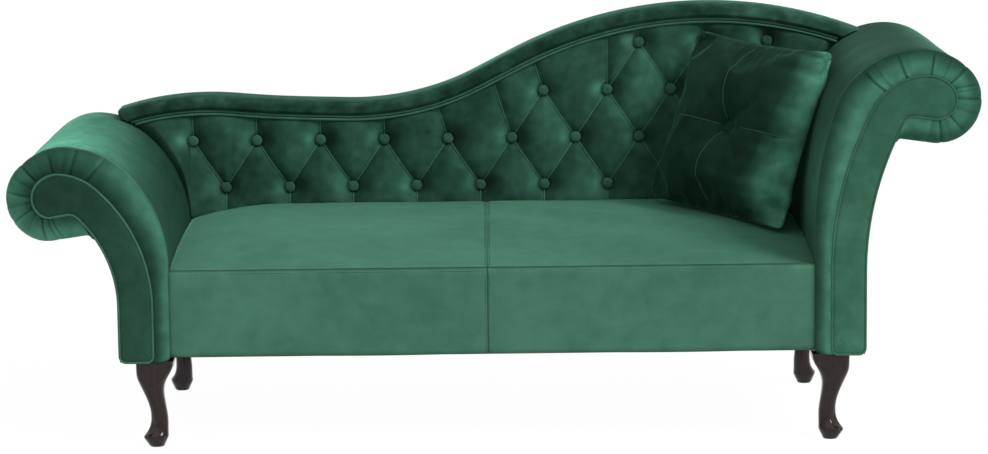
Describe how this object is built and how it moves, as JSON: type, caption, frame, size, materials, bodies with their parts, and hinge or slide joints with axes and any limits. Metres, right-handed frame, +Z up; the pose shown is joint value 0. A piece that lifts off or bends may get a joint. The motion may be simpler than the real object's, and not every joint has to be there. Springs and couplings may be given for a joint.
{
  "type": "chaise longue",
  "caption": "Upholstered chaise longue with one low and one high scrolled arm, a sweeping button-tufted back, a firm seat, turned-out cabriole legs and a loose scatter cushion.",
  "frame": {"origin": "on the floor, under the middle of the outline", "axes": "+X along the seat towards the high arm, +Y from the front to the back, +Z up"},
  "size_m": [1.7999, 0.61, 0.773],
  "materials": {
    "velvet": "short-pile emerald velvet with a brushed nap",
    "piping": "velvet-covered piping cord",
    "cushion_velvet": "short-pile dark emerald velvet",
    "lacquered_wood": "dark brown stain under clear gloss lacquer",
    "frame_timber": "planed softwood, unfinished",
    "plywood": "sanded plywood, unfinished",
    "zinc_plated_steel": "zinc plated",
    "webbing": "woven elastic webbing",
    "dust_cloth": "black non-woven cloth"
  },
  "bodies": {
    "chaise": {"arm_bolts": "zinc_plated_steel", "back_board": "plywood", "back_bolts": "zinc_plated_steel", "back_bottom_rail": "frame_timber", "back_buttons": "velvet", "back_pad": "velvet", "back_uprights": "frame_timber", "centre_rail": "frame_timber", "corner_blocks": "frame_timber", "dust_cover": "dust_cloth", "front_left_leg": "lacquered_wood", "front_rail": "frame_timber", "front_right_leg": "lacquered_wood", "high_arm_base_board": "frame_timber", "high_arm_facing": "velvet", "high_arm_facing_piping": "piping", "high_arm_front_board": "plywood", "high_arm_lower_rail": "frame_timber", "high_arm_outside_panel": "velvet", "high_arm_padding": "velvet", "high_arm_rear_board": "plywood", "high_arm_rear_cover": "velvet", "high_arm_slats": "frame_timber", "left_end_rail": "frame_timber", "leg_bolts": "zinc_plated_steel", "leg_nuts": "zinc_plated_steel", "low_arm_base_board": "frame_timber", "low_arm_facing": "velvet", "low_arm_facing_piping": "piping", "low_arm_front_board": "plywood", "low_arm_lower_rail": "frame_timber", "low_arm_outside_panel": "velvet", "low_arm_padding": "velvet", "low_arm_rear_board": "plywood", "low_arm_rear_cover": "velvet", "low_arm_slats": "frame_timber", "outside_back": "velvet", "rear_left_leg": "lacquered_wood", "rear_rail": "frame_timber", "rear_right_leg": "lacquered_wood", "right_end_rail": "frame_timber", "seat_cushion": "velvet", "seat_front_panel": "velvet", "top_rail": "velvet", "top_rail_piping": "piping", "webbing_across": "webbing", "webbing_along": "webbing"},
    "cushion": {"scatter_cushion": "cushion_velvet", "cushion_button": "cushion_velvet"}
  },
  "joints": [
    {"name": "cushion_lift", "type": "slide", "parent": "chaise", "child": "cushion", "axis": [-0.35, -0.45, 0.8216], "range_m": [0, 0.5]}
  ]
}
